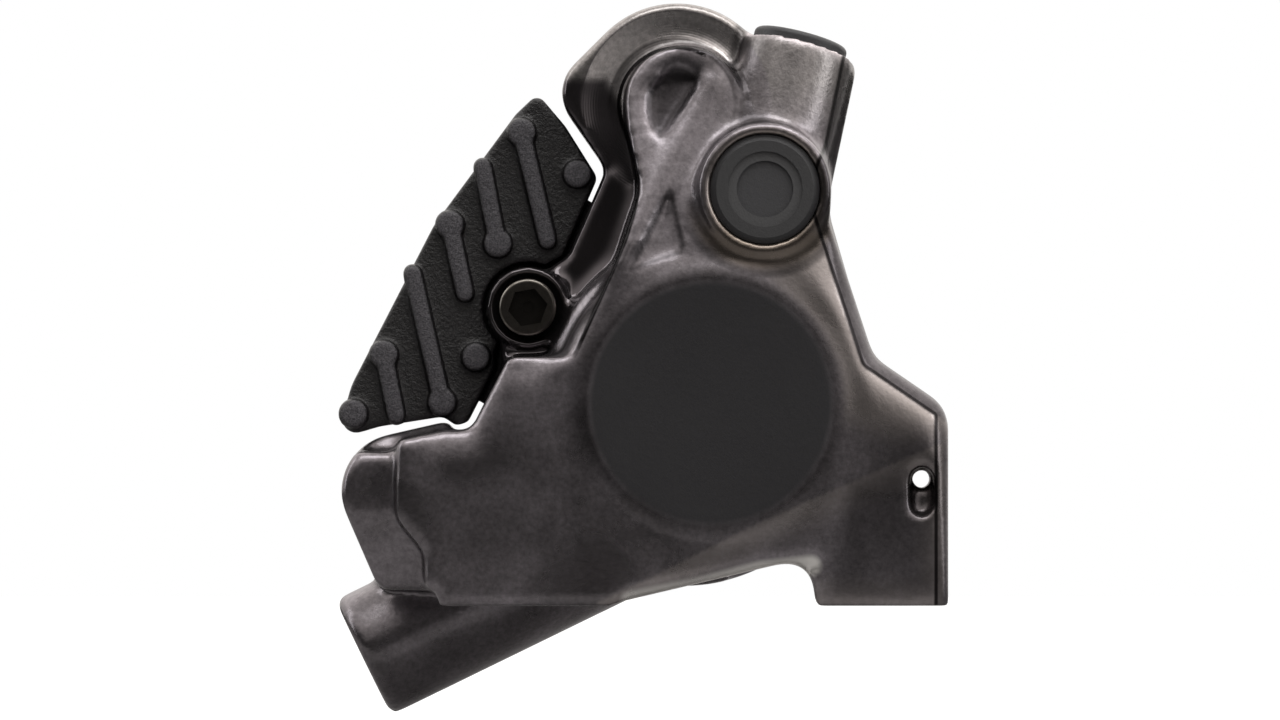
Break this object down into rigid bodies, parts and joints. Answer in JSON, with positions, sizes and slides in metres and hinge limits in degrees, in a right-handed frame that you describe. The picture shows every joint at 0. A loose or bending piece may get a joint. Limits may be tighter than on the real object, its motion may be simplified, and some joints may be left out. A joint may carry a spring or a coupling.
{
  "type": "bicycle disc brake caliper",
  "caption": "Hydraulic two-piston flat-mount disc brake caliper with finned brake pads, valve screw, bleed nipple and hose port",
  "frame": {"origin": "the middle of the two frame bolt holes, on the mount face", "axes": "+X along the mount face towards the rear of the bicycle, +Z off the mount face into the caliper, +Y inboard towards the wheel"},
  "size_m": [0.053, 0.037, 0.0616],
  "materials": {
    "body_coating": "forged aluminium with a dark grey-brown glossy anodised coating",
    "black_steel": "black oxide steel with worn bright edges",
    "bright_steel": "turned stainless steel",
    "spring_steel": "stainless spring sheet",
    "pad_steel": "stamped stainless backing plate",
    "lining": "resin friction compound with metal flecks",
    "fin_paint": "matt black textured paint on pressed aluminium",
    "piston_resin": "smooth ceramic",
    "seal_rubber": "smooth nitrile rubber",
    "cap_rubber": "matt moulded rubber"
  },
  "bodies": {
    "caliper": {"outboard_body": "body_coating", "inboard_body": "body_coating", "body_bolts": "black_steel", "transfer_seal": "seal_rubber", "outboard_piston_seal": "seal_rubber", "inboard_piston_seal": "seal_rubber", "pad_spring": "spring_steel", "bleed_nipple": "bright_steel", "bleed_nipple_seal": "seal_rubber"},
    "outboard_piston": {"outboard_piston": "piston_resin"},
    "inboard_piston": {"inboard_piston": "piston_resin"},
    "outboard_pad": {"outboard_pad_plate": "pad_steel", "outboard_pad_lining": "lining", "outboard_pad_fin": "fin_paint", "outboard_pad_rivets": "pad_steel"},
    "inboard_pad": {"inboard_pad_plate": "pad_steel", "inboard_pad_lining": "lining", "inboard_pad_fin": "fin_paint", "inboard_pad_rivets": "pad_steel"},
    "pad_axle_clip": {"pad_axle_clip": "spring_steel"},
    "pad_axle": {"pad_axle": "black_steel"},
    "valve_screw_o_ring": {"valve_screw_o_ring": "seal_rubber"},
    "valve_screw": {"valve_screw": "bright_steel"},
    "valve_screw_cap": {"valve_screw_cap": "cap_rubber"},
    "bleed_nipple_cap": {"bleed_nipple_cap": "cap_rubber"}
  },
  "joints": [
    {"name": "outboard_piston_slide", "type": "slide", "parent": "caliper", "child": "outboard_piston", "axis": [0, 1, 0], "range_m": [-0.0006, 0.001], "deforming": ["pad_spring"]},
    {"name": "inboard_piston_slide", "type": "slide", "parent": "caliper", "child": "inboard_piston", "axis": [0, -1, 0], "range_m": [-0.0006, 0.001]},
    {"name": "outboard_pad_slide", "type": "slide", "parent": "caliper", "child": "outboard_pad", "axis": [0, 1, 0], "range_m": [-0.0006, 0.001]},
    {"name": "inboard_pad_slide", "type": "slide", "parent": "caliper", "child": "inboard_pad", "axis": [0, -1, 0], "range_m": [-0.0006, 0.001]},
    {"name": "pad_axle_travel", "type": "slide", "parent": "caliper", "child": "pad_axle_clip", "axis": [0, -1, 0], "range_m": [0, 0.00035]},
    {"name": "pad_axle_turn", "type": "hinge", "parent": "pad_axle_clip", "child": "pad_axle", "pos_m": [-0.01385, 0.0138, 0.02576], "axis": [0, -1, 0], "range_deg": [0, 180]},
    {"name": "valve_screw_rise", "type": "slide", "parent": "caliper", "child": "valve_screw_o_ring", "axis": [0, -1, 0], "range_m": [0, 0.0005]},
    {"name": "valve_screw_turn", "type": "hinge", "parent": "valve_screw_o_ring", "child": "valve_screw", "pos_m": [0.00664, 0.004, 0.03595], "axis": [0, -1, 0], "range_deg": [0, 180]},
    {"name": "valve_screw_cap_pull", "type": "slide", "parent": "caliper", "child": "valve_screw_cap", "axis": [0, -1, 0], "range_m": [0, 0.004]},
    {"name": "bleed_nipple_cap_pull", "type": "slide", "parent": "caliper", "child": "bleed_nipple_cap", "axis": [0.2479, 0.1392, 0.9587], "range_m": [0, 0.006]}
  ],
  "couplings": [
    {"joint": "inboard_piston_slide", "follows": "outboard_piston_slide", "ratio": 1},
    {"joint": "outboard_pad_slide", "follows": "outboard_piston_slide", "ratio": 1},
    {"joint": "inboard_pad_slide", "follows": "outboard_piston_slide", "ratio": 1},
    {"joint": "pad_axle_turn", "follows": "pad_axle_travel", "rad_per_m": 8976},
    {"joint": "valve_screw_turn", "follows": "valve_screw_rise", "rad_per_m": 6283.2}
  ]
}
